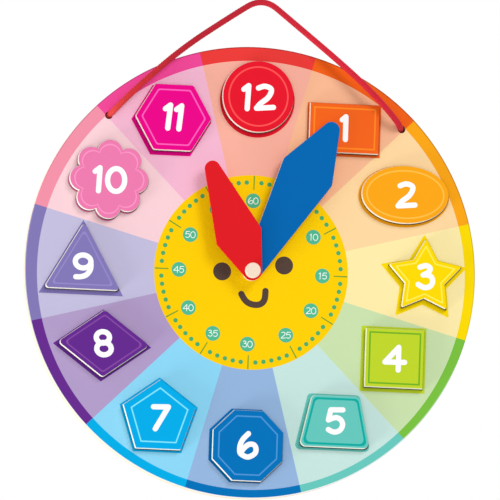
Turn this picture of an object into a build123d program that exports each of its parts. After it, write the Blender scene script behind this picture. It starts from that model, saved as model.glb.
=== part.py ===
"""A wooden teaching clock: a round printed board with twelve magnetic shape tiles and two hand-set hands.

Everything is drawn in the dial's own frame and in millimetres: x to the right, y up, and z out of the
face, with the origin on the pivot's axis at the board's back.  save() then hangs each piece in the part's
frame, which has +Z up, the dial towards -Y, and its origin where a hook bears on the cord's loop.
"""
from build123d import *
import os
from math import cos, radians, sin, tan

# Board: a plywood disc with a steel sheet let into its face, under one printed sheet.
board_r = 150.0
board_t = 8.0
steel_t = 0.5
steel_gap = 0.2
face_t = 0.25

# Cord holes, one each side of twelve o'clock, just outside the steel.
cord_d = 4.0
cord_hole_gap = 0.55
cord_hole_margin = 10.3
cord_hole_angle = 44.4
cord_hole_to_steel = 2.0

# Tiles: a magnetic sheet under a wooden core that is printed on its front, both of one outline.
magnet_t = 1.5
core_t = 3.2
tile_ring_r = 114.0
soft_corner_r = 2.0
round_corner_r = 3.0
rectangle_w = 46.6
rectangle_h = 32.6
ellipse_half_w = 29.1
ellipse_half_h = 19.2
star_tip_r = 25.8
star_notch_r = 14.0
square_w = 39.0
trapezoid_top_w = 32.0
trapezoid_foot_w = 47.0
trapezoid_h = 34.3
octagon_w = 46.8
pentagon_r = 25.5
rhombus_w = 61.2
rhombus_h = 44.8
triangle_w = 51.0
triangle_h = 45.0
petal_count = 8
petal_ring_r = 18.0
petal_r = 8.3
hexagon_r = 25.4
circle_r = 23.8

# Hands: flat wooden kites that turn on the peg, the hour hand in front.
hand_t = 3.0
hand_hub_r = 6.3
minute_reach = 113.8
minute_shoulder = 75.5
minute_width = 36.6
minute_shoulder_r = 5.0
minute_tip_r = 5.6
minute_angle = 27.4
hour_reach = 77.7
hour_shoulder = 24.7
hour_width = 31.2
hour_shoulder_r = 3.0
hour_tip_r = 5.0
hour_angle = -23.4

# Peg, spacer and the gaps that let the hands turn and pass over the tiles.
peg_r = 3.0
peg_glue_gap = 0.02
head_r = 5.1
head_t = 2.4
head_chamfer = 0.5
bore_gap = 0.05
turning_gap = 0.1
sweep_gap = 0.6
spacer_r = 5.4

# Knots: stopper knots pulled up against the board's back, each with a short tail.
knot_r = 5.5
knot_t = 8.5
tail_length = 13.0
tail_swing = 22.0

# A cord's arc takes this share of the shorter of the two runs beside it, and its section has this many flats.
arc_share = 0.45
cord_flat_count = 12

# The layers, counted out from the board's back.
face_z = board_t + face_t
tile_t = magnet_t + core_t
minute_z = face_z + tile_t + sweep_gap
hour_z = minute_z + hand_t + turning_gap
head_z = hour_z + hand_t + turning_gap

cord_r = cord_d / 2
cord_hole_r = cord_r + cord_hole_gap
cord_hole_ring_r = board_r - cord_hole_margin
hole_x = cord_hole_ring_r * sin(radians(cord_hole_angle))
hole_y = cord_hole_ring_r * cos(radians(cord_hole_angle))
steel_r = cord_hole_ring_r - cord_hole_r - cord_hole_to_steel

# The cord's centreline from knot to knot: out of the left hole, up in front of the rim, over the hook,
# and down to the right hole across the upper corner of the one o'clock tile.
cord_route = [
    (-hole_x, hole_y, 0.0),
    (-hole_x, hole_y, 12.8),
    (-80.0, 119.0, 14.2),
    (-51.0, 146.3, 14.4),
    (-19.5, 168.9, 13.7),
    (1.5, 183.0, 13.4),
    (20.8, 168.0, 13.8),
    (57.5, 138.8, 16.4),
    (77.5, 120.6, 19.3),
    (hole_x, hole_y, 15.2),
    (hole_x, hole_y, 0.0),
]
loop_top_y = 179.43
loop_z = 13.5

# The part's frame: its origin is the underside of the loop's top, where the hook bears.
hook = Vector(0, loop_top_y - cord_r, loop_z)
hung = Plane(origin=(0, hook.Z, -hook.Y), x_dir=(1, 0, 0), z_dir=(0, -1, 0))


def save(node, piece):
    """Hang one piece in the part's frame and write it as its node's STEP."""
    placed = hung.location * piece
    placed.label = node
    export_step(placed, f"parts/{node}.step")


def slab(outline, back, thickness):
    """A flat piece of one outline, its back at a height above the board's back."""
    return extrude(Pos(0, 0, back) * outline, amount=thickness)


def drilled_disc():
    """The board's outline with the peg's bore and the two cord holes."""
    peg_bore = Circle(peg_r + peg_glue_gap)
    cord_holes = [Pos(side * hole_x, hole_y) * Circle(cord_hole_r) for side in (-1, 1)]
    return Circle(board_r) - peg_bore - cord_holes


def board():
    """The plywood disc, with the steel sheet's recess in its front."""
    recess = slab(Circle(steel_r + steel_gap), board_t - steel_t, steel_t)
    return slab(drilled_disc(), 0, board_t) - recess


def steel_sheet():
    """The sheet that the magnets hold on to, flush in its recess."""
    return slab(Circle(steel_r) - Circle(peg_r + peg_glue_gap), board_t - steel_t, steel_t)


def printed_face():
    """The printed sheet over the whole front."""
    return slab(drilled_disc(), board_t, face_t)


def polygon(points):
    """A polygon with sharp corners."""
    return make_face(Polyline(*points, close=True))


def rounded_polygon(points, corner_r):
    """A polygon with every corner rounded."""
    outline = polygon(points)
    return fillet(outline.vertices(), corner_r)


def regular_points(count, reach, first_angle):
    """The corners of a regular polygon, the first one at an angle anticlockwise from the right."""
    angles = [radians(first_angle + 360 * i / count) for i in range(count)]
    return [(reach * cos(a), reach * sin(a)) for a in angles]


def star_outline(point_count, reach, inner_reach):
    """A star with one point straight up."""
    tips = regular_points(point_count, reach, 90)
    notches = regular_points(point_count, inner_reach, 90 + 180 / point_count)
    return polygon([corner for pair in zip(tips, notches) for corner in pair])


def trapezoid_outline(top, foot, height, corner_r):
    """A trapezoid, wider at its foot."""
    foot_corners = [(-foot / 2, -height / 2), (foot / 2, -height / 2)]
    top_corners = [(top / 2, height / 2), (-top / 2, height / 2)]
    return rounded_polygon(foot_corners + top_corners, corner_r)


def octagon_outline(across_flats):
    """A regular octagon that stands on a flat."""
    half_side_angle = 180 / 8
    reach = across_flats / 2 / cos(radians(half_side_angle))
    return polygon(regular_points(8, reach, half_side_angle))


def rhombus_outline(width, height, corner_r):
    """A rhombus on its point."""
    corners = [(-width / 2, 0), (0, -height / 2), (width / 2, 0), (0, height / 2)]
    return rounded_polygon(corners, corner_r)


def triangle_outline(base, height, corner_r):
    """An isosceles triangle, centred on its centroid."""
    corners = [(-base / 2, -height / 3), (base / 2, -height / 3), (0, height * 2 / 3)]
    return rounded_polygon(corners, corner_r)


def flower_outline(count, ring_r, round_r):
    """A flower of round petals about a filled middle."""
    petals = [Pos(x, y) * Circle(round_r) for x, y in regular_points(count, ring_r, 90)]
    return Circle(ring_r) + petals


# Each hour's tile: its shape's name, how far it stands off its even place on the ring, and its outline.
tiles = {
    1: ("rectangle", (1.9, -0.6), Rectangle(rectangle_w, rectangle_h)),
    2: ("ellipse", (2.3, -1.0), Ellipse(ellipse_half_w, ellipse_half_h)),
    3: ("star", (2.0, 1.6), star_outline(5, star_tip_r, star_notch_r)),
    4: ("square", (-1.4, 3.8), Rectangle(square_w, square_w)),
    5: (
        "trapezoid",
        (2.2, 1.9),
        trapezoid_outline(trapezoid_top_w, trapezoid_foot_w, trapezoid_h, round_corner_r),
    ),
    6: ("octagon", (1.6, -1.3), octagon_outline(octagon_w)),
    7: ("pentagon", (-0.8, -0.8), polygon(regular_points(5, pentagon_r, 90))),
    8: ("rhombus", (2.5, 5.0), rhombus_outline(rhombus_w, rhombus_h, soft_corner_r)),
    9: ("triangle", (2.2, -1.7), triangle_outline(triangle_w, triangle_h, soft_corner_r)),
    10: ("flower", (2.3, 0.0), flower_outline(petal_count, petal_ring_r, petal_r)),
    11: ("hexagon", (1.8, 1.3), rounded_polygon(regular_points(6, hexagon_r, 0), soft_corner_r)),
    12: ("circle", (0.8, 2.6), Circle(circle_r)),
}


def tile_centre(hour):
    """Where a tile's middle lies on the face."""
    angle = radians(30 * hour)
    nudge_x, nudge_y = tiles[hour][1]
    return tile_ring_r * sin(angle) + nudge_x, tile_ring_r * cos(angle) + nudge_y


def tile_layers(hour):
    """One tile's magnet on the printed face, and its core on the magnet."""
    outline = Pos(*tile_centre(hour)) * tiles[hour][2]
    return {
        "magnet": slab(outline, face_z, magnet_t),
        "core": slab(outline, face_z + magnet_t, core_t),
    }


def hand(reach, shoulder, width, shoulder_r, tip_r, angle, back):
    """A kite-shaped hand: hub, two shoulders and tip are arcs joined by their tangents."""
    arcs = [
        CenterArc((0, 0), hand_hub_r, 0, 360),
        CenterArc((width / 2 - shoulder_r, shoulder), shoulder_r, 0, 360),
        CenterArc((-width / 2 + shoulder_r, shoulder), shoulder_r, 0, 360),
        CenterArc((0, reach - tip_r), tip_r, 0, 360),
    ]
    outline = make_hull(arcs) - Circle(peg_r + bore_gap)
    return Rot(0, 0, -angle) * slab(outline, back, hand_t)


def minute_hand():
    """The long hand, widest near its tip, just clear of the tiles."""
    return hand(
        minute_reach,
        minute_shoulder,
        minute_width,
        minute_shoulder_r,
        minute_tip_r,
        minute_angle,
        minute_z,
    )


def hour_hand():
    """The short hand, widest near its hub, in front of the minute hand."""
    return hand(hour_reach, hour_shoulder, hour_width, hour_shoulder_r, hour_tip_r, hour_angle, hour_z)


def hub_spacer():
    """The turned washer that carries the hands above the tiles."""
    return slab(Circle(spacer_r) - Circle(peg_r + bore_gap), face_z, minute_z - turning_gap - face_z)


def pivot_peg():
    """The axle peg: a shaft glued through the board, and a flat head in front of the hands."""
    front_z = head_z + head_t
    profile = Polyline(
        (0, 0),
        (peg_r, 0),
        (peg_r, head_z),
        (head_r, head_z),
        (head_r, front_z - head_chamfer),
        (head_r - head_chamfer, front_z),
        (0, front_z),
        close=True,
    )
    return revolve(Plane.XZ * make_face(profile), Axis.Z)


def arc_radii(route):
    """For each corner of a route, the radius that its two runs allow."""
    points = [Vector(*point) for point in route]
    radii = []
    for before, corner, after in zip(points, points[1:], points[2:]):
        run_in, run_out = corner - before, after - corner
        half_turn = radians(run_in.get_angle(run_out)) / 2
        radii.append(arc_share * min(run_in.length, run_out.length) / tan(half_turn))
    return radii


def hanging_cord():
    """The cord from knot to knot: straight runs and tangent arcs, its round section cut in flats."""
    radii = arc_radii(cord_route)
    path = FilletPolyline(*cord_route, radius=radii)
    section = RegularPolygon(cord_r, cord_flat_count)
    tube = sweep(Plane(origin=path @ 0, z_dir=path % 0) * section, path=path)
    print("cord radii", [round(radius, 1) for radius in radii])
    whole = section.area * path.length
    print("cord length", round(path.length, 1), "volume share", round(tube.volume / whole, 4))
    return tube


def knot(side):
    """A stopper knot with its tail turned down along the board; side is -1 at the left, 1 at the right."""
    end_x, end_y, _ = cord_route[0] if side < 0 else cord_route[-1]
    bead = Cylinder(knot_r, knot_t)
    tail = Cylinder(cord_r, tail_length, align=(Align.CENTER, Align.CENTER, Align.MIN))
    return Pos(end_x, end_y, -knot_t / 2) * (bead + Rot(90, 0, side * tail_swing) * tail)


def main():
    os.makedirs("parts", exist_ok=True)
    save("board", board())
    save("steel_sheet", steel_sheet())
    save("printed_face", printed_face())
    for hour, (shape, _, _) in tiles.items():
        for layer, piece in tile_layers(hour).items():
            save(f"tile_{hour:02d}_{shape}_{layer}", piece)
    save("hub_spacer", hub_spacer())
    save("pivot_peg", pivot_peg())
    save("minute_hand", minute_hand())
    save("hour_hand", hour_hand())
    save("hanging_cord", hanging_cord())
    save("left_knot", knot(-1))
    save("right_knot", knot(1))


main()
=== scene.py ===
"""A wooden teaching clock: a round printed board with twelve magnetic shape tiles and two hand-set hands.

What is printed is drawn flat, in millimetres, in the dial's own frame: x to the right, y up, z out of the
face, and the origin on the pivot's axis at the board's back.  place() turns that into the part's frame.
"""

from itertools import accumulate
from math import acos, atan2, cos, degrees, pi, radians, sin, sqrt, tan
from typing import NamedTuple

import bmesh
import bpy
from bpy.props import FloatProperty, FloatVectorProperty, IntProperty, PointerProperty
from mathutils import Matrix, Vector
from mathutils.geometry import delaunay_2d_cdt


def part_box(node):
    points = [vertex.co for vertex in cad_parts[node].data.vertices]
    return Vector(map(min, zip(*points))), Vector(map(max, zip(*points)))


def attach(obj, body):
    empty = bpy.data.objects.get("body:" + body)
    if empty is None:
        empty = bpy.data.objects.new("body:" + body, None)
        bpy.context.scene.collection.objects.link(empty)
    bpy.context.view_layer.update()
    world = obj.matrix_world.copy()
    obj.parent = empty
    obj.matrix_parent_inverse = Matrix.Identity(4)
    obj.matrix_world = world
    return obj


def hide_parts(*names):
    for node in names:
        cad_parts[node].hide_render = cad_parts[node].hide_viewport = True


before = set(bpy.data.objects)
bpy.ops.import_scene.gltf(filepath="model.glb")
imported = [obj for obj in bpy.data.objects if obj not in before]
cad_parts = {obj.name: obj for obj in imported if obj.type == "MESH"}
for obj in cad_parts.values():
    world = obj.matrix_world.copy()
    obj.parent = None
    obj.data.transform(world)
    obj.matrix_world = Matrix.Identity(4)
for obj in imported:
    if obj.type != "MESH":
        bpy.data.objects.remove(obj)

bl_info = {
    "name": "Teaching clock",
    "version": (1, 0, 0),
    "blender": (4, 5, 0),
    "location": "3D View > Sidebar > Clock",
    "description": "A round teaching clock with magnetic shape tiles, turning hands and a hanging cord",
    "category": "Object",
}

HOURS = range(1, 13)
HOUR_ANGLE = 30
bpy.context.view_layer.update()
BOARD_LOW, BOARD_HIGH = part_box("board")
PEG_LOW, PEG_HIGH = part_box("pivot_peg")
PIVOT = Vector((0, BOARD_HIGH.y, (PEG_LOW.z + PEG_HIGH.z) / 2))


def depth(node):
    """How far a node's back and front stand out from the board's back, in millimetres."""
    low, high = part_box(node)
    return (PIVOT.y - high.y) * 1000, (PIVOT.y - low.y) * 1000


BOARD_RADIUS = (BOARD_HIGH.x - BOARD_LOW.x) * 500
FACE_BACK, FACE_FRONT = depth("printed_face")

# The bores and the cord's route, the same values as the solids have.
PEG_BORE_RADIUS = 3.02
CORD_DIAMETER = 4.0
CORD_HOLE_RADIUS = 2.55
HOLE_X = 97.744
HOLE_Y = 99.811
CORD_ROUTE = [
    (-HOLE_X, HOLE_Y, 0.0), (-HOLE_X, HOLE_Y, 12.8), (-80.0, 119.0, 14.2), (-51.0, 146.3, 14.4),
    (-19.5, 168.9, 13.7), (1.5, 183.0, 13.4), (20.8, 168.0, 13.8), (57.5, 138.8, 16.4),
    (77.5, 120.6, 19.3), (HOLE_X, HOLE_Y, 15.2), (HOLE_X, HOLE_Y, 0.0),
]
SCREEN_GAMMA = 2.2


def place(x, y, z):
    """A point of the dial's frame, in the part's frame and in metres."""
    return PIVOT + Vector((x, -z, y)) / 1000


def dye(red, green, blue):
    """A colour in the linear values that shaders use, from the screen values 0 to 255."""
    return tuple((value / 255) ** SCREEN_GAMMA for value in (red, green, blue))


# ---- flat outlines, in millimetres


def arc(centre, reach, start, end, steps):
    """Points along part of an ellipse, between two angles in degrees."""
    angles = [radians(start + (end - start) * i / steps) for i in range(steps + 1)]
    return [(centre[0] + reach[0] * cos(a), centre[1] + reach[1] * sin(a)) for a in angles]


def ellipse(x, y, half_width, half_height, steps):
    return arc((x, y), (half_width, half_height), 0, 360, steps)[:-1]


def disc(x, y, radius, steps):
    return ellipse(x, y, radius, radius, steps)


def corner_points(count, reach, first_angle):
    """The corners of a regular polygon about the origin."""
    return arc((0, 0), (reach, reach), first_angle, first_angle + 360, count)[:-1]


def grown(corners, by):
    """A polygon whose sides have moved out by a distance; its corners run anticlockwise."""
    outline = []
    for before, here, after in zip(corners[-1:] + corners[:-1], corners, corners[1:] + corners[:1]):
        into = Vector(here) - Vector(before)
        away = Vector(after) - Vector(here)
        first = Vector((into.y, -into.x)).normalized()
        second = Vector((away.y, -away.x)).normalized()
        reach = by / (1 + first.dot(second))
        outline.append(tuple(Vector(here) + (first + second) * reach))
    return outline


def rounded(corners, radius, steps=8):
    """A polygon with each corner turned into an arc; its notches stay sharp."""
    if radius <= 0:
        return corners
    outline = []
    for before, here, after in zip(corners[-1:] + corners[:-1], corners, corners[1:] + corners[:1]):
        here = Vector(here)
        back = (Vector(before) - here).normalized()
        on = (Vector(after) - here).normalized()
        if on.x * back.y < on.y * back.x:
            outline.append(tuple(here))
            continue
        half = acos(max(-1, min(1, back.dot(on)))) / 2
        middle = here + (back + on).normalized() * radius / sin(half)
        start = here + back * radius / tan(half) - middle
        end = here + on * radius / tan(half) - middle
        turn = atan2(start.x * end.y - start.y * end.x, start.dot(end))
        for i in range(steps + 1):
            outline.append(tuple(middle + Matrix.Rotation(turn * i / steps, 2) @ start))
    return outline


def shifted(point, by):
    return point[0] + by[0], point[1] + by[1]


def moved(outline, by):
    return [shifted(point, by) for point in outline]


def capsule(a, b, radius, steps):
    """The outline that a round pen leaves between two points."""
    heading = degrees(atan2(b[1] - a[1], b[0] - a[0]))
    around_b = arc(b, (radius, radius), heading - 90, heading + 90, steps)
    around_a = arc(a, (radius, radius), heading + 90, heading + 270, steps)
    return around_b + around_a


def pen_line(points, radius, steps):
    """The outlines that a round pen leaves along a line of points."""
    return [capsule(a, b, radius, steps) for a, b in zip(points, points[1:])]


def curved(points, steps=6):
    """A smooth line through a few points."""
    ends = [points[0], *points, points[-1]]
    line = []
    for a, b, c, d in zip(ends, ends[1:], ends[2:], ends[3:]):
        a, b, c, d = (Vector(point) for point in (a, b, c, d))
        square, cube = 2 * a - 5 * b + 4 * c - d, 3 * b - a - 3 * c + d
        for i in range(steps):
            t = i / steps
            line.append(b + ((c - a) * t + square * t**2 + cube * t**3) / 2)
    return line + [Vector(points[-1])]


# Each digit's strokes, as the pen's middle draws them in a space 15 high about the origin.
DIGIT_HEIGHT = 15.0
TWO = [(-4.0, 5.7), (0, 7.1), (3.9, 6.0), (4.6, 3.6), (2.3, -0.7), (-2.4, -4.6), (-4.9, -7.8)]
THREE_TOP = [(-3.8, 6.3), (0.2, 7.5), (3.0, 6.0), (2.0, 3.2), (-1.5, 1.2)]
THREE_FOOT = [
    (-1.5, 1.2), (1.2, 1.4), (3.8, 0.3), (5.0, -2.7), (3.8, -5.6), (1.5, -6.9), (-1.4, -6.9), (-4.7, -5.2),
]
FIVE_BOWL = [
    (-2.4, 1.7), (0.6, 2.4), (3.4, 1.2), (4.9, -1.7), (3.9, -5.0), (1.6, -6.8), (-1.4, -7.1), (-4.5, -5.7),
]
SIX = [
    (0.1, 7.9), (-3.2, 4.3), (-4.9, 0.9), (-5.4, -2.6), (-4.6, -5.6), (0, -7.6),
    (4.4, -5.4), (5.5, -2.4), (4.2, 0.5), (1, 0.9), (-2, -1.2), (-4.2, -4.2),
]
NINE_TAIL = [(5.1, 3.2), (5.0, -1.6), (2.5, -5.4), (-1.2, -6.9), (-4.6, -7.1)]
DIGITS = {
    "0": [arc((0, 0), (5.7, 7.6), 90, 450, 26)],
    "1": [[(-3.0, 5.0), (0.2, 7.6), (-0.4, -7.8)]],
    "short 1": [[(-2.3, 5.4), (0.1, 7.6), (0.2, -7.6)]],
    "2": [curved(TWO) + [(6.4, -6.7)]],
    "3": [curved(THREE_TOP), curved(THREE_FOOT)],
    "4": [[(2.6, -7.7), (2.6, 7.4), (-6.4, -2.7), (6.8, -2.4)]],
    "5": [[(4.8, 7.7), (-3.3, 7.4), (-4.7, 0.6)] + curved(FIVE_BOWL)],
    "6": [curved(SIX)],
    "7": [[(-4.1, 7.1), (5.8, 7.4), (-2.4, -7.4)]],
    "8": [arc((-0.8, 3.9), (4.4, 3.8), 0, 360, 22), arc((0.2, -3.5), (4.8, 4.1), 0, 360, 24)],
    "9": [arc((-0.1, 3.2), (5.2, 4.3), 0, 360, 24), curved(NINE_TAIL)],
}


def written(digits, height, radius, x, y, steps=7):
    """The outlines of a row of digits, each given with its place off the middle and its lean in degrees."""
    scale = height / DIGIT_HEIGHT
    outlines = []
    for digit, across, up, lean in digits:
        slant = tan(radians(lean))
        for stroke in DIGITS[digit]:
            line = [(x + across + (px - py * slant) * scale, y + up + py * scale) for px, py in stroke]
            outlines += pen_line(line, radius, steps)
    return outlines


# ---- the twelve tiles; each shape is a function that gives its outline, grown by a distance


def polygon_shape(corners, corner_radius=0.0, seat_radius=0.0):
    """A polygon; the seat printed for it has a corner radius of its own."""
    return lambda by, seat=False: rounded(grown(corners, by), seat_radius if seat else corner_radius)


def ellipse_shape(half_width, half_height):
    return lambda by, seat=False: ellipse(0, 0, half_width + by, half_height + by, 120)


def flower_shape(count, ring_radius, petal_radius):
    """Round petals about a filled middle."""
    steps = count * 14

    def outline(by, seat=False):
        points = []
        scale = 1 + by / (ring_radius + petal_radius)
        for i in range(steps):
            angle = 360 * i / steps
            off = radians((angle + 180 / count) % (360 / count) - 180 / count)
            across = ring_radius * sin(off)
            reach = scale * (ring_radius * cos(off) + sqrt(petal_radius**2 - across**2))
            points.append((reach * cos(radians(angle)), reach * sin(radians(angle))))
        return points

    return outline


def star_corners(count, reach, inner_reach):
    tips = corner_points(count, reach, 90)
    notches = corner_points(count, inner_reach, 90 + 180 / count)
    return [corner for pair in zip(tips, notches) for corner in pair]


def box_corners(width, height):
    x, y = width / 2, height / 2
    return [(-x, -y), (x, -y), (x, y), (-x, y)]


class Tile(NamedTuple):
    """One hour's tile, and what is printed on it and under it, in millimetres."""

    shape: str
    outline: object  # its shape, as above
    middle: tuple
    line_in: float  # how far the printed line lies in from the edge
    seat_grown: float  # how much larger the printed seat is than the tile
    seat_off: tuple  # how far the seat lies off the tile's middle
    digits: list  # each digit, its place off the middle and its lean in degrees
    line_share: float = 1.0  # the printed line's width, as a share of the one in the settings


TILES = {
    1: Tile(
        "rectangle", polygon_shape(box_corners(46.6, 32.6)), (58.9, 98.13),
        3.0, 1.3, (0.15, -0.7), [("short 1", 0.6, 0.2, 0)], 1.16,
    ),
    2: Tile(
        "ellipse", ellipse_shape(29.1, 19.2), (101.03, 56.0),
        3.4, 1.3, (-0.5, -0.95), [("2", 0.2, 0, 0)], 1.16,
    ),
    3: Tile(
        "star", polygon_shape(star_corners(5, 25.8, 14.0), 0.5, 0.8), (116.0, 1.6),
        2.6, 2.3, (-0.6, -1.4), [("3", 0.1, 0.2, 0)],
    ),
    4: Tile(
        "square", polygon_shape(box_corners(39.0, 39.0)), (97.33, -53.2),
        2.7, 2.2, (-0.35, -0.55), [("4", 0, 0, 0)], 1.2,
    ),
    5: Tile(
        "trapezoid", polygon_shape([(-23.5, -17.15), (23.5, -17.15), (16, 17.15), (-16, 17.15)], 3.0, 3.0),
        (59.2, -96.83), 2.2, 1.5, (-1.0, -0.3), [("5", 0, 0.2, 0)], 1.6,
    ),
    6: Tile(
        "octagon", polygon_shape(corner_points(8, 46.8 / 2 / cos(radians(22.5)), 22.5)), (1.6, -115.3),
        4.1, 1.0, (-1.0, 0.0), [("6", 0, 0, 0)],
    ),
    7: Tile(
        "pentagon", polygon_shape(corner_points(5, 25.5, 90)), (-57.8, -99.53),
        4.7, 1.5, (-0.1, -0.25), [("7", 0, 0, 0)],
    ),
    8: Tile(
        "rhombus", polygon_shape([(-30.6, 0), (0, -22.4), (30.6, 0), (0, 22.4)], 2.0), (-96.23, -52.0),
        2.9, 1.2, (-0.6, -1.0), [("8", 0, 0, 0)],
    ),
    9: Tile(
        "triangle", polygon_shape([(-25.5, -15), (25.5, -15), (0, 30)], 1.5), (-111.8, -1.7),
        3.1, 1.5, (-0.35, -1.75), [("9", 0, 0, 0)],
    ),
    10: Tile(
        "flower", flower_shape(8, 18.0, 8.3), (-96.43, 57.0),
        3.4, 0.3, (-0.4, -1.0), [("1", -6.6, -0.4, 0), ("0", 4.5, -0.5, 0)],
    ),
    11: Tile(
        "hexagon", polygon_shape(corner_points(6, 25.4, 0), 2.0), (-55.2, 100.03),
        3.8, 1.1, (-0.9, -1.9), [("1", -2.9, 0.4, -3), ("1", 4.5, 0.2, -3)],
    ),
    12: Tile(
        "circle", ellipse_shape(23.8, 23.8), (0.8, 116.6),
        4.2, 1.15, (-0.1, -2.0), [("1", -6.9, -0.7, 0), ("2", 3.8, -0.1, 0)], 1.16,
    ),
}

# Screen colours of the inks, from one o'clock round to twelve.
RING_INK = [
    (243, 100, 30), (250, 165, 28), (252, 218, 1), (121, 192, 66), (104, 200, 189), (0, 113, 184),
    (0, 173, 232), (103, 48, 142), (130, 120, 181), (243, 145, 168), (240, 75, 154), (236, 63, 60),
]
SECTOR_INK = [
    (249, 187, 148), (254, 215, 160), (253, 235, 169), (201, 225, 173), (198, 230, 224), (148, 181, 222),
    (140, 215, 247), (177, 155, 200), (195, 190, 222), (250, 210, 217), (245, 184, 211), (249, 177, 159),
]
TILE_INK = [
    (242, 100, 34), (250, 165, 28), (252, 217, 0), (190, 213, 48), (102, 199, 188), (0, 114, 186),
    (0, 172, 234), (101, 46, 142), (130, 119, 182), (238, 123, 174), (234, 8, 136), (230, 29, 48),
]
LINE_INK = [
    (255, 135, 40), (255, 190, 75), (255, 238, 90), (112, 176, 44), (20, 170, 160), (80, 150, 215),
    (130, 232, 255), (132, 76, 162), (148, 136, 200), (255, 150, 200), (255, 100, 190), (255, 85, 85),
]
# The other colours: their names and descriptions in the panel, and their screen colours.
OTHER_COLOURS = {
    "dial": ("Dial", "The dial inside the sectors", (254, 207, 7)),
    "marks": ("Label discs", "Discs behind the minute numbers", (84, 186, 146)),
    "dots": ("Minute dots", "Dots between the hours", (80, 172, 104)),
    "ticks": ("Hour ticks", "Short lines at the hours", (108, 160, 56)),
    "features": ("Face", "Eyes and smile", (85, 69, 62)),
    "white": ("White ink", "Numerals and label numbers", (255, 255, 255)),
    "minute_hand": ("Minute hand", "Paint of the minute hand", (0, 102, 175)),
    "hour_hand": ("Hour hand", "Paint of the hour hand", (224, 33, 40)),
    "wood": ("Wood", "Bare birch edges and the board's back", (252, 236, 210)),
    "peg": ("Peg", "Bare wood of the peg", (255, 229, 207)),
    "tile_wood": ("Tile wood", "Bare birch on the tiles' sides", (255, 247, 232)),
    "magnet": ("Magnetic sheet", "Rubber under each tile", (38, 36, 36)),
    "cord": ("Cord", "Braided cord and its knots", (205, 38, 56)),
    "floor": ("Floor", "Floor of the stage", (250, 250, 250)),
}


# ---- settings


def colour_property(name, description, screen):
    return FloatVectorProperty(
        name=name, description=description, default=dye(*screen), size=3, min=0, max=1, subtype="COLOR"
    )


def hour_colours(key, description, inks):
    """A colour for each hour."""
    return {
        f"{key}_{hour}": colour_property(f"{key.capitalize()} {hour}", f"{description} {hour}", ink)
        for hour, ink in zip(HOURS, inks)
    }


def length_property(name, default, description):
    return FloatProperty(
        name=name, description=description, default=default, min=0, precision=4, unit="LENGTH"
    )


class ClockSizes(bpy.types.PropertyGroup):
    """Sizes of what is printed, woven and eased"""

    line_width: length_property("Printed line", 0.0009, "Width of the line printed inside a tile's edge")
    numeral_height: length_property("Numeral height", 0.0150, "Height of a numeral along the pen's middle")
    numeral_stroke: length_property("Numeral stroke", 0.0035, "Width of a numeral's strokes")
    label_height: length_property("Label height", 0.0041, "Height of a minute label along the pen's middle")
    label_stroke: length_property("Label stroke", 0.00045, "Width of a minute label's strokes")
    edge_round: length_property("Eased edge", 0.00012, "How far a tile's front edge is eased")
    side_draft: length_property("Side draft", 0.00038, "How far a tile's sides lean out, front to back")
    braid_pitch: length_property("Braid pitch", 0.0125, "Length of a strand's turn about the cord")
    strand_pairs: IntProperty(
        name="Strand pairs", description="Strands that turn each way about the cord", default=6, min=4, max=16
    )


class ClockColours(bpy.types.PropertyGroup):
    """Colours of the inks, paints, wood and cord"""

    __annotations__ = {
        **hour_colours("ring", "Ring beside hour", RING_INK),
        **hour_colours("sector", "Pale sector of hour", SECTOR_INK),
        **hour_colours("tile", "Face of tile", TILE_INK),
        **hour_colours("line", "Line printed on tile", LINE_INK),
        **{key: colour_property(*given) for key, given in OTHER_COLOURS.items()},
    }


# ---- shaders


class Value:
    """A shader's number; the operators on it, and their reflected forms, add Math nodes."""

    def __init__(self, finish, socket):
        self.finish = finish
        self.socket = socket

    def maths(self, operation, *values):
        return self.finish.node("Math", {"operation": operation}, dict(enumerate([self, *values])))

    def __add__(self, other):
        return self.maths("ADD", other)

    __radd__ = __add__

    def __mul__(self, other):
        return self.maths("MULTIPLY", other)

    __rmul__ = __mul__

    def __sub__(self, other):
        return self.maths("SUBTRACT", other)

    def __rsub__(self, other):
        return self.finish.node("Math", {"operation": "SUBTRACT"}, {0: other, 1: self})

    def __lt__(self, other):
        return self.maths("LESS_THAN", other)

    def __gt__(self, other):
        return self.maths("GREATER_THAN", other)

    def __abs__(self):
        return self.maths("ABSOLUTE")


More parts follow.
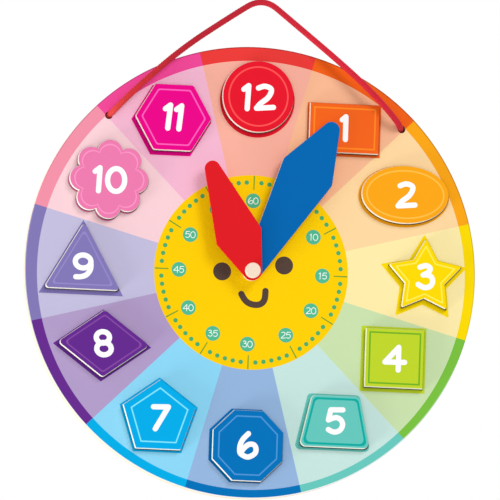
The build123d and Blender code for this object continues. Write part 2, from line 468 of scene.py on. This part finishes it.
class Finish:
    """A new material, and the nodes behind its surface."""

    def __init__(self, name, constants):
        self.material = bpy.data.materials.new(name)
        self.material.use_nodes = True
        self.tree = self.material.node_tree
        self.surface = self.tree.nodes["Principled BSDF"]
        self.coat(constants)

    def coat(self, values):
        """Set or link sockets of the surface itself."""
        for name, value in values.items():
            self.feed(self.surface.inputs[name], value)

    def feed(self, socket, value):
        if isinstance(value, Value):
            self.tree.links.new(value.socket, socket)
        elif socket.type == "RGBA":
            socket.default_value = (*value, 1)
        else:
            socket.default_value = value

    def pick(self, sockets, key):
        """The socket at an index, or the one in use that has a name."""
        if isinstance(key, int):
            return sockets[key]
        return next(socket for socket in sockets if socket.enabled and socket.name == key)

    def node(self, kind, settings=None, values=None, output=None):
        """Add a node: first its settings, then its sockets' values or links."""
        made = self.tree.nodes.new("ShaderNode" + kind)
        for name, value in (settings or {}).items():
            if name == "stops":
                self.fill_ramp(made.color_ramp, value)
            else:
                setattr(made, name, value)
        for key, value in (values or {}).items():
            self.feed(self.pick(made.inputs, key), value)
        if output:
            return Value(self, self.pick(made.outputs, output))
        return Value(self, next(socket for socket in made.outputs if socket.enabled))

    def fill_ramp(self, ramp, stops):
        while len(ramp.elements) < len(stops):
            ramp.elements.new(1)
        for element, (position, colour) in zip(ramp.elements, stops):
            element.position = position
            element.color = (*colour, 1)

    def place(self):
        """Where a point lies in the part's frame, whatever the pose."""
        return self.node("TexCoord", output="Object")

    def noise(self, scale, detail, roughness=0.5, squeeze=None):
        """Noise from 0 to 1; the larger its squeeze along an axis, the shorter its grain there."""
        spot = self.place()
        if squeeze:
            spot = self.node("Mapping", {}, {"Vector": spot, "Scale": squeeze})
        values = {"Vector": spot, "Scale": scale, "Detail": detail, "Roughness": roughness}
        return self.node("TexNoise", {}, values, "Fac")

    def scaled(self, colour, by):
        return self.node("VectorMath", {"operation": "SCALE"}, {0: colour, "Scale": by})

    def axis(self, vector, name):
        """One coordinate of a vector."""
        return self.node("SeparateXYZ", {}, {"Vector": vector}, name)

    def facing(self):
        """How far the surface faces the dial's back: -1 on the front, 1 on the back."""
        return self.axis(self.node("NewGeometry", {}, {}, "Normal"), "Y")

    def mix(self, factor, a, b):
        return self.node("Mix", {"data_type": "RGBA"}, {"Factor": factor, "A": a, "B": b}, "Result")

    def done(self, colour, roughness, height, distance, strength):
        """Give the surface its colour, roughness and relief, and hand over the material."""
        relief = self.node("Bump", {}, {"Height": height, "Distance": distance, "Strength": strength})
        self.coat({"Base Color": colour, "Roughness": roughness, "Normal": relief})
        return self.material


# How deep the board's edge turns warm, in metres, and how much of the cord's painted light, a painted
# highlight and painted shade that run from 0 at the left to 1 at the right, goes into a metre.
WARM_DEPTH = 0.006
FADE_PER_METRE = 4.8


def toned(colour, by):
    """A colour made darker or lighter."""
    return tuple(min(1, value * by) for value in colour)


def printed_ink(name):
    """Ink on a smooth sheet: each area's colour comes from the mesh, with the faint grain of the print."""
    finish = Finish(name, {"Specular IOR Level": 0.04})
    ink = finish.node("Attribute", {"attribute_name": "ink"}, {}, "Color")
    grain = finish.noise(900.0, 2.0)
    cloud = finish.noise(9.0, 2.0)
    colour = finish.mix(grain * 0.5 + cloud * 0.5, finish.scaled(ink, 0.96), ink)
    return finish.done(colour, 0.42 + cloud * 0.12, grain, 0.00002, 0.25)


def bare_birch(name, colour, ply, front=None):
    """Sanded birch plywood: grain along the dial's x, and plies with glue lines on the edges.

    ply is a ply's thickness in millimetres.  Where front is given, as a depth in the part's frame, the edges
    are warmer from there toward the back.
    """
    finish = Finish(name, {"Specular IOR Level": 0.3})
    fibre = finish.noise(6.0, 6.0, 0.62, (12.0, 160.0, 160.0))
    pore = finish.noise(2.2, 3.0, 0.6, (60.0, 900.0, 900.0))
    edge = abs(finish.facing()) < 0.5
    level = finish.axis(finish.place(), "Y")
    layer = (level * (1000 / ply)).maths("FRACT")
    glue = (abs(layer - 0.5) < 0.06) * edge
    every_other = ((level * (500 / ply)).maths("FRACT") < 0.5) * edge
    wood = finish.mix(fibre, toned(colour, 0.86), toned(colour, 1.04))
    for share, tone in ((pore * 0.35, 0.72), (every_other * 0.25, 0.8), (glue * 0.3, 0.55)):
        wood = finish.mix(share, wood, toned(colour, tone))
    if front is not None:
        warm = finish.mix(fibre, dye(236, 196, 158), dye(246, 214, 180))
        values = {"Value": level, "From Min": front, "From Max": front + WARM_DEPTH}
        wood = finish.mix(finish.node("MapRange", {}, values) * edge, wood, warm)
    return finish.done(wood, 0.62 + fibre * 0.16, pore + fibre * 0.5, 0.00012, 0.5)


def hand_paint(name, colour, wood, reach):
    """Flat paint on a hand, where it faces no further back than the reach, and bare birch on the rest."""
    finish = Finish(name, {"Specular IOR Level": 0.04})
    front = finish.facing() < reach
    fibre = finish.noise(12.0, 5.0, 0.6, (40.0, 40.0, 6.0))
    cloud = finish.noise(30.0, 2.0)
    paint = finish.mix(cloud, toned(colour, 0.95), colour)
    bare = finish.mix(fibre, toned(wood, 0.82), toned(wood, 1.04))
    roughness = 0.66 - front * 0.2 + cloud * 0.06
    return finish.done(finish.mix(front, bare, paint), roughness, fibre, 0.00008, 0.35)


def magnet_rubber(name, colour):
    """Matt magnetic rubber, finely speckled."""
    finish = Finish(name, {"Specular IOR Level": 0.25})
    speck = finish.noise(1400.0, 2.0)
    speckled = finish.mix(speck, toned(colour, 0.7), toned(colour, 1.6))
    return finish.done(speckled, 0.7 + speck * 0.2, speck, 0.00003, 0.5)


def sheet_steel(name):
    """Plain rolled steel, which only a gap at the peg or a cord hole could show."""
    finish = Finish(name, {"Metallic": 1.0})
    rolled = finish.noise(3.0, 4.0, 0.6, (8.0, 400.0, 900.0))
    grey = dye(150, 153, 158)
    streaked = finish.mix(rolled, toned(grey, 0.85), grey)
    return finish.done(streaked, 0.32 + rolled * 0.2, rolled, 0.00001, 0.4)


def cord_braid(name, colour):
    """Polyester yarn with fine filaments and a soft sheen, and painted highlight and shade from one side of
    the clock to the other.
    """
    # Painted light: a painted highlight by the left hole, painted shade up the left leg, and the right leg
    # painted lighter.
    fade = [
        (0, dye(236, 80, 72)), (0.1, dye(218, 52, 58)), (0.25, toned(colour, 0.86)),
        (0.5, toned(colour, 0.96)), (0.75, toned(colour, 1.15)), (1, colour),
    ]
    finish = Finish(name, {"Sheen Weight": 0.1, "Sheen Roughness": 0.4, "Specular IOR Level": 0.15})
    yarn = finish.noise(2600.0, 3.0, 0.7)
    patch = finish.noise(220.0, 2.0)
    across = finish.axis(finish.place(), "X") * FADE_PER_METRE + 0.5
    faded = finish.node("ValToRGB", {"stops": fade}, {"Fac": across}, "Color")
    strand = finish.mix(yarn * 0.6 + patch * 0.4, finish.scaled(faded, 0.6), finish.scaled(faded, 1.25))
    return finish.done(strand, 0.62 + yarn * 0.2, yarn, 0.00005, 0.6)


# ---- meshes

# Points of a flat division that lie closer than this are one point, in millimetres.
SAME_SPOT = 1e-4


def linked(name, data):
    """A new object, in the scene."""
    made = bpy.data.objects.new(name, data)
    bpy.context.scene.collection.objects.link(made)
    return made


def new_piece(name, mesh, body, slot, *materials):
    """Link an object with its materials and let it ride on its body; its slot is not used."""
    for material in materials:
        mesh.materials.append(material)
    piece = linked(name, mesh)
    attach(piece, body)
    return piece


def dress(node, material):
    """Give a solid one material all over."""
    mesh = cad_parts[node].data
    for index in range(len(mesh.materials)):
        mesh.materials[index] = material


def divided(loops):
    """Triangles between anticlockwise loops, each with the numbers of the loops that it lies in."""
    points, faces = [], []
    for loop in loops:
        faces.append(list(range(len(points), len(points) + len(loop))))
        points.extend(Vector(point) for point in loop)
    spots, _, triangles, _, _, owners = delaunay_2d_cdt(points, [], faces, 1, SAME_SPOT, True)
    return spots, list(zip(triangles, owners))


def printed_slab(name, outline, holes, shapes, ink_of, levels):
    """A flat piece with its front divided along what is printed on it, and closed sides and back.

    ink_of gives the ink at a point from the numbers of the shapes that lie over it.  The levels, from the
    front to the back, are each how far the outline is grown there, its depth and the slot of the wall in
    front of it.
    """
    front = levels[0][1]
    spots, pieces = divided([outline, *holes, *shapes])
    first_shape = 1 + len(holes)
    work = bmesh.new()
    ink_layer = work.loops.layers.float_color.new("ink")
    corners = {}
    for triangle, owners in pieces:
        if 0 not in owners or any(hole in owners for hole in range(1, first_shape)):
            continue
        for index in triangle:
            if index not in corners:
                corners[index] = work.verts.new((*spots[index], front))
        face = work.faces.new([corners[index] for index in triangle])
        over = [owner - first_shape for owner in owners if owner >= first_shape]
        for loop in face.loops:
            loop[ink_layer] = (*ink_of(over, loop.vert.co.x, loop.vert.co.y), 1)
    edges, inks, outward = [], [], {}
    for edge in work.edges:
        if not edge.is_boundary:
            continue
        loop = edge.link_loops[0]
        edges.append((loop.vert, loop.link_loop_next.vert))
        inks.append(loop[ink_layer].copy())
        along = loop.link_loop_next.vert.co - loop.vert.co
        normal = Vector((along.y, -along.x, 0)).normalized()
        for vert in edge.verts:
            outward.setdefault(vert, []).append(normal)
    base = {vert: vert.co.copy() for vert in outward}
    ring = {vert: vert for vert in outward}
    for reach, height, slot in levels[1:]:
        below = {}
        for vert, normals in outward.items():
            step = (normals[0] + normals[-1]) * (reach / (1 + normals[0].dot(normals[-1])))
            below[vert] = work.verts.new((base[vert].x + step.x, base[vert].y + step.y, height))
        for (a, b), ink in zip(edges, inks):
            wall = work.faces.new([ring[b], ring[a], below[a], below[b]])
            wall.material_index = slot
            for loop in wall.loops:
                loop[ink_layer] = ink
        ring = below
    bottom = [work.edges.get((ring[a], ring[b])) for a, b in edges]
    filled = bmesh.ops.triangle_fill(work, edges=bottom, use_beauty=True, normal=(0, 0, -1))
    for element in filled["geom"]:
        if isinstance(element, bmesh.types.BMFace):
            element.material_index = slot
            if element.normal.z > 0:
                element.normal_flip()
    for vert in work.verts:
        vert.co = place(*vert.co)
    mesh = bpy.data.meshes.new(name)
    work.to_mesh(mesh)
    work.free()
    return mesh


def colour_of(name):
    """One of the clock's colours."""
    return tuple(getattr(bpy.context.scene.clock_colours, name))


# ---- operators


class CLOCK_OT_stage(bpy.types.Operator):
    """Set the camera, the soft lights and the pale floor"""

    bl_idname = "clock.stage"
    bl_label = "Stage"
    AZIMUTH, ELEVATION, ROLL = radians(-7.0), radians(-6.0), radians(1.94)
    DISTANCE, VIEW_WIDTH, SENSOR_WIDTH, FAR = 6.0, 0.3306, 36, 50
    AIM = (-0.83, 14.75, FACE_FRONT)
    # Each lamp: how far it stands off the dial's middle, how wide it is, and its watts.
    LAMPS = {
        "key_light": ((0.75, -1.5, 1.15), 0.8, 14.4),
        "side_light": ((-1.8, -0.28, -1.4), 1.0, 40.0),
        "back_light": ((-0.6, 1.6, 0.7), 1.2, 12.0),
    }
    SOFT_LIGHT, SEEN_LIGHT = 0.685, 1.0
    FLOOR_HEIGHT, FLOOR_REACH = -2.4, 12

    def execute(self, context):
        context.scene.camera = self.camera()
        for name, (offset, size, watts) in self.LAMPS.items():
            self.lamp(name, Vector(offset), size, watts)
        context.scene.world = self.studio()
        self.floor(colour_of("floor"))
        return {"FINISHED"}

    def camera(self):
        level = cos(self.ELEVATION)
        towards = Vector((sin(self.AZIMUTH) * level, -cos(self.AZIMUTH) * level, sin(self.ELEVATION)))
        data = bpy.data.cameras.new("camera")
        data.sensor_width = self.SENSOR_WIDTH
        data.lens = self.SENSOR_WIDTH * self.DISTANCE / self.VIEW_WIDTH
        data.clip_end = self.FAR
        camera = linked("camera", data)
        right = Vector((cos(self.AZIMUTH), sin(self.AZIMUTH), 0))
        up = towards.cross(right)
        leaning_right = right * cos(self.ROLL) + up * sin(self.ROLL)
        leaning_up = up * cos(self.ROLL) - right * sin(self.ROLL)
        turn = Matrix((leaning_right, leaning_up, towards)).transposed()
        camera.matrix_world = Matrix.Translation(place(*self.AIM) + towards * self.DISTANCE) @ turn.to_4x4()
        return camera

    def studio(self):
        """Even light from all round, which is white where it is seen."""
        world = bpy.data.worlds.new("studio")
        world.use_nodes = True
        nodes, links = world.node_tree.nodes, world.node_tree.links
        soft, seen = nodes["Background"], nodes.new("ShaderNodeBackground")
        for background, strength in ((soft, self.SOFT_LIGHT), (seen, self.SEEN_LIGHT)):
            background.inputs["Strength"].default_value = strength
            background.inputs["Color"].default_value = (1, 1, 1, 1)
        path = nodes.new("ShaderNodeLightPath")
        either = nodes.new("ShaderNodeMath")
        either.operation = "MAXIMUM"
        links.new(path.outputs["Is Camera Ray"], either.inputs[0])
        links.new(path.outputs["Is Glossy Ray"], either.inputs[1])
        choice = nodes.new("ShaderNodeMixShader")
        links.new(either.outputs[0], choice.inputs["Fac"])
        links.new(soft.outputs[0], choice.inputs[1])
        links.new(seen.outputs[0], choice.inputs[2])
        links.new(choice.outputs[0], nodes["World Output"].inputs["Surface"])
        return world

    def lamp(self, name, offset, size, watts):
        data = bpy.data.lights.new(name, "AREA")
        data.shape = "DISK"
        data.size = size
        data.energy = watts
        turn = offset.to_track_quat("Z", "Y").to_matrix().to_4x4()
        linked(name, data).matrix_world = Matrix.Translation(place(0, 0, FACE_FRONT) + offset) @ turn

    def floor(self, pale):
        finish = Finish("floor_paint", {"Specular IOR Level": 0.2})
        mottled = finish.mix(finish.noise(3.0, 2.0), toned(pale, 0.985), pale)
        finish.coat({"Base Color": mottled, "Roughness": 0.9})
        work = bmesh.new()
        bmesh.ops.create_grid(work, x_segments=4, y_segments=4, size=self.FLOOR_REACH)
        mesh = bpy.data.meshes.new("floor")
        for vert in work.verts:
            vert.co.z = self.FLOOR_HEIGHT
        work.to_mesh(mesh)
        work.free()
        mesh.materials.append(finish.material)
        floor = linked("floor", mesh)


class CLOCK_OT_board(bpy.types.Operator):
    """Finish the plywood board, the steel sheet under the print and the hub's wooden pieces"""

    bl_idname = "clock.board"
    bl_label = "Board and hub"
    # The board's plies are 1.6 mm; the peg is solid, so its one ply is thicker than the peg is long.
    BOARD_PLY, PEG_PLY = 1.6, 40.0

    def execute(self, context):
        birch = bare_birch("board_birch", colour_of("wood"), self.BOARD_PLY, BOARD_LOW.y)
        dress("board", birch)
        dress("steel_sheet", sheet_steel("rolled_steel"))
        dress("hub_spacer", birch)
        dress("pivot_peg", bare_birch("peg_birch", colour_of("peg"), self.PEG_PLY))
        return {"FINISHED"}


class CLOCK_OT_printed_face(bpy.types.Operator):
    """Print the sheet on the board's front: ring, sectors, dial, minute marks, face and seats"""

    bl_idname = "clock.printed_face"
    bl_label = "Printed face"
    # Lengths in millimetres.  The print isn't quite centred on the pivot, and its labels stray a little.
    PAST_THE_RIM = (240, 240)
    SECTOR_DISC = (0.7, -1.7, 142.5)
    MIDDLE = (0.4, -0.1)
    DIAL_RADIUS = 64.6
    TICK_IN, TICK_OUT, TICK_LEAN = 55, 64.2, degrees(0.4 / 60)
    DOT_RING, DOT_RADIUS, DOT_STEP = 59.8, 1.5, 5.15
    LABEL_RING, LABEL_RADIUS, LABEL_STRAY = 47.8, 4.93, (-0.2, -0.2)
    LABEL_STRAYS = {
        2: (-0.7, 1.4), 4: (-0.7, 0.3), 5: (0.6, 0.8), 6: (-0.9, 0.1), 8: (0.5, -1.4), 10: (0.1, -0.7),
    }
    EYES, EYE_RADIUS = ((-18.9, -0.3), (22.2, 5.5)), 6.0
    SMILE_RADIUS = 2.1
    SMILE = [
        (-5.6, -14.7), (-3.4, -18.2), (-0.6, -20.5), (3.2, -21.5), (6.8, -21.1), (9.2, -19.2), (10.2, -16.4),
        (10.4, -12.0),
    ]
    # The sheet's cut edge: its width, the side toward which painted shade falls on it, how dark the painted
    # shade turns there, how fast a painted highlight turns it pale on the other side, and how pale that
    # highlight is.
    EDGE_WIDTH, EDGE_LIGHT, EDGE_DARK, EDGE_PALE, PAPER = 0.65, (0.35, 0.94), 0.5, 1.3, 0.93

    def execute(self, context):
        shapes, inks = [], []

        def add(outlines, ink):
            shapes.extend(outlines)
            inks.extend([ink] * len(outlines))

        for hour in HOURS:
            start = 90 - HOUR_ANGLE * (hour + 0.5)
            wedge = [(0, 0)] + arc((0, 0), self.PAST_THE_RIM, start, start + HOUR_ANGLE, 4)
            add([wedge], ("wedge", hour))
        add([disc(0, 0, BOARD_RADIUS - self.EDGE_WIDTH, 360)], "ring")
        add([disc(*self.SECTOR_DISC, 240)], "sector")
        for hour, tile in TILES.items():
            seat = tile.outline(tile.seat_grown, seat=True)
            add([moved(seat, shifted(tile.middle, tile.seat_off))], f"tile_{hour}")
        add([disc(*self.MIDDLE, self.DIAL_RADIUS, 180)], "dial")
        add(self.ticks(), "ticks")
        add(self.dots(), "dots")
        add([disc(*self.label_place(hour), self.LABEL_RADIUS, 36) for hour in HOURS], "marks")
        add(self.labels(context.scene.clock_sizes), "white")
        add([disc(*eye, self.EYE_RADIUS, 40) for eye in self.EYES], "features")
        add(pen_line(curved(self.SMILE, 3), self.SMILE_RADIUS, 8), "features")

        def ink_of(over, x, y):
            """The topmost ink; the ring and the sectors take the colour of the wedge that they lie in."""
            hour = next((inks[i][1] for i in over if isinstance(inks[i], tuple)), 12)
            named = [inks[i] for i in sorted(over) if isinstance(inks[i], str)]
            name = named[-1] if named else "ring"
            colour = colour_of(f"{name}_{hour}" if name in ("ring", "sector") else name)
            # Outside the ring's disc lies the sheet's cut edge, which gets painted shade and a painted
            # highlight.
            return colour if named else self.edge_ink(colour, x, y)

        rim = disc(0, 0, BOARD_RADIUS, 360)
        holes = [disc(side * HOLE_X, HOLE_Y, CORD_HOLE_RADIUS, 32) for side in (-1, 1)]
        holes.append(disc(0, 0, PEG_BORE_RADIUS, 32))
        levels = [(0, FACE_FRONT, 0), (0, FACE_BACK, 0)]
        mesh = printed_slab("printed_sheet", rim, holes, shapes, ink_of, levels)
        sheet = new_piece("printed_sheet", mesh, "board", "face_print", printed_ink("sheet_ink"))
        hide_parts("printed_face")
        return {"FINISHED"}

    def about(self, angle, radius):
        """A point about the dial's middle; the angle runs clockwise from twelve."""
        turn = radians(angle)
        return self.MIDDLE[0] + radius * sin(turn), self.MIDDLE[1] + radius * cos(turn)

    def ticks(self):
        """A short line at each hour."""
        lean = self.TICK_LEAN
        corners = [(lean, self.TICK_OUT), (-lean, self.TICK_OUT), (-lean, self.TICK_IN), (lean, self.TICK_IN)]
        return [[self.about(HOUR_ANGLE * hour + side, radius) for side, radius in corners] for hour in HOURS]

    def dots(self):
        """Five dots between the hours."""
        angles = [HOUR_ANGLE * (hour + 0.5) + self.DOT_STEP * step for hour in HOURS for step in range(-2, 3)]
        return [disc(*self.about(angle, self.DOT_RING), self.DOT_RADIUS, 18) for angle in angles]

    def label_place(self, hour):
        off = self.LABEL_STRAYS.get(hour, self.LABEL_STRAY)
        return shifted(self.about(HOUR_ANGLE * hour, self.LABEL_RING), off)

    def labels(self, sizes):
        """The minute numbers in their discs; a number that starts with 1 is set closer."""
        outlines = []
        height, radius = sizes.label_height * 1000, sizes.label_stroke * 500
        for hour in HOURS:
            number = str(5 * hour)
            spacing = height * (0.7 if number[0] == "1" else 0.86)
            start = -spacing * (len(number) - 1) / 2
            digits = [(digit, start + spacing * i, 0, 0) for i, digit in enumerate(number)]
            outlines += written(digits, height, radius, *self.label_place(hour), 4)
        return outlines

    def edge_ink(self, ink, x, y):
        """The sheet's cut edge: painted shade darkens its ink high up, and a painted highlight pales it low
        down.
        """
        height = (self.EDGE_LIGHT[0] * x + self.EDGE_LIGHT[1] * y) / BOARD_RADIUS
        if height > 0:
            return toned(ink, 1 - self.EDGE_DARK * sqrt(height))
        pale = min(1, -self.EDGE_PALE * height)
        return tuple(value + (self.PAPER - value) * pale for value in ink)


class CLOCK_OT_tiles(bpy.types.Operator):
    """Make the twelve tiles: printed wooden cores on magnetic sheets"""

    bl_idname = "clock.tiles"
    bl_label = "Tiles"
    # How far the magnetic sheet's outline stands out, how far its sides lean out, and how far it is laid off
    # the core toward the lower right, so that its black edge there also stands in for contact shadow, as
    # painted shade; and the thickness of the core's plies.  All in millimetres.
    PROUD, MAGNET_LEAN, MAGNET_OFF = 0.1, 0.1, (0.15, -0.3)
    TILE_PLY = 1.1

    def execute(self, context):
        ink = printed_ink("tile_ink")
        birch = bare_birch("tile_birch", colour_of("tile_wood"), self.TILE_PLY)
        rubber = magnet_rubber("magnetic_rubber", colour_of("magnet"))
        for hour, tile in TILES.items():
            self.core(hour, tile, context.scene.clock_sizes, ink, birch)
            self.magnet(hour, tile, rubber)
        return {"FINISHED"}

    def core(self, hour, tile, sizes, ink, birch):
        """The printed wood; its front edge is eased and its cut sides lean out toward the back."""
        body = f"tile_{hour:02d}"
        node = f"{body}_{tile.shape}_core"
        back, front = depth(node)
        eased, draft = sizes.edge_round * 1000, sizes.side_draft * 1000
        half_line = sizes.line_width * 500 * tile.line_share
        shapes = [moved(tile.outline(side * half_line - tile.line_in), tile.middle) for side in (1, -1)]
        pen_radius = sizes.numeral_stroke * 500
        shapes += written(tile.digits, sizes.numeral_height * 1000, pen_radius, *tile.middle)

        def ink_of(over, _x, _y):
            """Shape 0 is the line and all inside it, shape 1 is what it goes round, the rest are digits."""
            top = max(over, default=-1)
            return colour_of("white" if top > 1 else f"line_{hour}" if top == 0 else f"tile_{hour}")

        front_outline = moved(tile.outline(self.PROUD - draft - eased), tile.middle)
        levels = [(0, front, 0), (eased, front - eased, 0), (eased + draft, back, 1)]
        mesh = printed_slab(node, front_outline, [], shapes, ink_of, levels)
        core = new_piece(f"{tile.shape}_tile_{hour}", mesh, body, f"{body}_wood", ink, birch)
        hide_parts(node)

    def magnet(self, hour, tile, rubber):
        """The sheet behind a core, laid a touch off it to the lower right, where its black edge is partly
        painted shade; its sides lean out too.
        """
        body = f"tile_{hour:02d}"
        node = f"{body}_{tile.shape}_magnet"
        back, front = depth(node)
        levels = [(0, front, 0), (self.MAGNET_LEAN, back, 0)]
        cut = moved(tile.outline(self.PROUD), shifted(tile.middle, self.MAGNET_OFF))
        mesh = printed_slab(node, cut, [], [], lambda *_: (0, 0, 0), levels)
        sheet = new_piece(f"{tile.shape}_magnet_{hour}", mesh, body, "magnet_rubber", rubber)
        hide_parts(node)


class CLOCK_OT_hands(bpy.types.Operator):
    """Paint the two wooden hands"""

    bl_idname = "clock.hands"
    bl_label = "Hands"
    # The minute hand is painted on its front alone, and the hour hand on its sides too.
    PAINT_REACH = {"minute_hand": -0.6, "hour_hand": 0.6}

    def execute(self, context):
        for name, reach in self.PAINT_REACH.items():
            dress(name, hand_paint(f"{name}_paint", colour_of(name), colour_of("wood"), reach))
        return {"FINISHED"}


class CLOCK_OT_cord(bpy.types.Operator):
    """Braid the hanging cord and tie its two stopper knots behind the board"""

    bl_idname = "clock.cord"
    bl_label = "Hanging cord"
    # A knot, in millimetres: how deep the cord goes back, its coils, and how far its tail runs on from them.
    KNOT_BACK = -7.4
    COIL_RADIUS, COIL_TURNS, COIL_STEPS, COIL_END = 3.3, 2.0, 25, radians(202)
    COIL_BACK, COIL_DEPTH = -6.5, 4.4
    TAIL = (3.2, 8.5)
    # The braid: its ring of strands and its core as shares of the cord's radius, then lengths in metres.
    STRAND_RING, CORE = 0.84, 0.72
    CROSSING_LIFT, STRAND_OVAL = 0.00017, (0.00078, 0.00024)
    STRAND_SIDES, CORE_SIDES, STEPS_PER_CROSSING = 6, 12, 4
    SPLINE_ORDER, SPLINE_STEPS = 3, 48

    def execute(self, context):
        sizes = context.scene.clock_sizes
        braid = cord_braid("braided_yarn", colour_of("cord"))
        line = self.line([place(*point) for point in CORD_ROUTE])
        mesh = self.braid("hanging_cord_braid", line, sizes)
        cord = new_piece("hanging_cord_braid", mesh, "board", "cord_braid", braid)
        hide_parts("hanging_cord")
        for node, side in (("left_knot", -1), ("right_knot", 1)):
            mesh = self.braid(f"{node}_braid", self.line(self.knot_points(side)), sizes)
            knot = new_piece(f"{node}_braid", mesh, "board", "cord_braid", braid)
            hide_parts(node)
        return {"FINISHED"}

    def knot_points(self, side):
        """Back through the middle of its own coils, round them toward the board, and down into a tail."""
        points = [(0, 0, 0), (0, 0, -4), (0, 0, self.KNOT_BACK)]
        for i in range(self.COIL_STEPS + 1):
            share = i / self.COIL_STEPS
            angle = self.COIL_END - 2 * pi * self.COIL_TURNS * (1 - share)
            x, y = -side * self.COIL_RADIUS * cos(angle), self.COIL_RADIUS * sin(angle)
            points.append((x, y, self.COIL_BACK + self.COIL_DEPTH * share))
        x, y, z = points[-1]
        out = self.COIL_END + pi / 2
        points += [(x - side * reach * cos(out), y + reach * sin(out), z) for reach in self.TAIL]
        return [place(side * HOLE_X + x, HOLE_Y + y, z) for x, y, z in points]

    def line(self, points):
        """Points along the smooth spline that a cord's control points give."""
        curve = bpy.data.curves.new("cord_line", "CURVE")
        curve.dimensions = "3D"
        curve.resolution_u = self.SPLINE_STEPS
        spline = curve.splines.new("NURBS")
        spline.points.add(len(points) - 1)
        for point, spot in zip(spline.points, points):
            point.co = (*spot, 1)
        spline.order_u = self.SPLINE_ORDER
        spline.use_endpoint_u = True
        holder = bpy.data.objects.new("cord_line", curve)
        mesh = bpy.data.meshes.new_from_object(holder)
        spots = [vert.co.copy() for vert in mesh.vertices]
        bpy.data.objects.remove(holder)
        bpy.data.meshes.remove(mesh)
        bpy.data.curves.remove(curve)
        return spots

    def even(self, line, step):
        """The line again, with its points a step apart."""
        lengths = list(accumulate(((b - a).length for a, b in zip(line, line[1:])), initial=0.0))
        count = max(2, round(lengths[-1] / step))
        spots, i = [], 0
        for k in range(count + 1):
            along = lengths[-1] * k / count
            while i < len(line) - 2 and lengths[i + 1] < along:
                i += 1
            share = (along - lengths[i]) / max(1e-12, lengths[i + 1] - lengths[i])
            spots.append(line[i].lerp(line[i + 1], min(1, share)))
        return spots, lengths[-1] / count

    def braid(self, name, line, sizes):
        """Strands that cross over and under each other about the line, on a plain core."""
        pairs, pitch = sizes.strand_pairs, sizes.braid_pitch
        spots, step = self.even(line, pitch / pairs / self.STEPS_PER_CROSSING)
        frames = self.frames(spots)
        radius = CORD_DIAMETER / 2000
        ring = radius * self.STRAND_RING
        points, faces = [], []
        for way in (-1, 1):
            for strand in range(pairs):
                centres = []
                for k, (spot, (side, up)) in enumerate(zip(spots, frames)):
                    turn = way * 2 * pi * k * step / pitch + 2 * pi * strand / pairs
                    over = cos(2 * pi * pairs * k * step / pitch) * way
                    out = side * cos(turn) + up * sin(turn)
                    centres.append((spot + out * (ring + self.CROSSING_LIFT * over), out))
                self.ribbon(points, faces, centres, self.STRAND_OVAL, self.STRAND_SIDES)
        core = [(spot, side) for spot, (side, _) in zip(spots, frames)][:: self.STEPS_PER_CROSSING]
        self.ribbon(points, faces, core, (radius * self.CORE, radius * self.CORE), self.CORE_SIDES)
        mesh = bpy.data.meshes.new(name)
        mesh.from_pydata(points, [], faces)
        mesh.polygons.foreach_set("use_smooth", [True] * len(mesh.polygons))
        return mesh

    def frames(self, spots):
        """Two directions square to the line at each point, with no twist between points."""
        ahead = [(b - a).normalized() for a, b in zip(spots, spots[1:])]
        ahead.append(ahead[-1])
        side = ahead[0].orthogonal().normalized()
        frames = []
        for before, now in zip([ahead[0]] + ahead, ahead):
            side = before.rotation_difference(now) @ side
            side = (side - now * side.dot(now)).normalized()
            frames.append((side, now.cross(side)))
        return frames

    def ribbon(self, points, faces, centres, oval, sides):
        """A strand or the core: an oval section along its own centres, closed at both ends."""
        start = len(points)
        for k, (spot, out) in enumerate(centres):
            before, after = centres[max(0, k - 1)][0], centres[min(len(centres) - 1, k + 1)][0]
            across = (after - before).cross(out).normalized()
            for i in range(sides):
                turn = 2 * pi * i / sides
                points.append(spot + across * (oval[0] * cos(turn)) + out * (oval[1] * sin(turn)))
        for k in range(len(centres) - 1):
            for i in range(sides):
                a, b = start + k * sides + i, start + k * sides + (i + 1) % sides
                faces.append((a, a + sides, b + sides, b))
        faces.append(tuple(range(start, start + sides)))
        faces.append(tuple(range(len(points) - 1, len(points) - 1 - sides, -1)))


class CLOCK_PT_panel(bpy.types.Panel):
    """The clock's pieces, sizes and colours"""

    bl_idname = "CLOCK_PT_panel"
    bl_label = "Teaching clock"
    bl_space_type = "VIEW_3D"
    bl_region_type = "UI"
    bl_category = "Clock"

    def draw(self, context):
        column = self.layout.column(align=True)
        for operator in OPERATORS:
            column.operator(operator.bl_idname)
        for group in (context.scene.clock_sizes, context.scene.clock_colours):
            box = self.layout.box()
            for name in group.bl_rna.properties.keys():
                if name not in ("rna_type", "name"):
                    box.prop(group, name)


OPERATORS = (
    CLOCK_OT_stage, CLOCK_OT_board, CLOCK_OT_printed_face, CLOCK_OT_tiles, CLOCK_OT_hands, CLOCK_OT_cord,
)
CLASSES = (ClockSizes, ClockColours, *OPERATORS, CLOCK_PT_panel)


def register():
    for made in CLASSES:
        bpy.utils.register_class(made)
    bpy.types.Scene.clock_sizes = PointerProperty(type=ClockSizes)
    bpy.types.Scene.clock_colours = PointerProperty(type=ClockColours)


def unregister():
    del bpy.types.Scene.clock_colours
    del bpy.types.Scene.clock_sizes
    for made in reversed(CLASSES):
        bpy.utils.unregister_class(made)


def main():
    register()
    bpy.context.scene.view_settings.view_transform = "Standard"
    bpy.ops.clock.stage()
    bpy.ops.clock.board()
    bpy.ops.clock.printed_face()
    bpy.ops.clock.tiles()
    bpy.ops.clock.hands()
    bpy.ops.clock.cord()


if __name__ == "__main__":
    main()
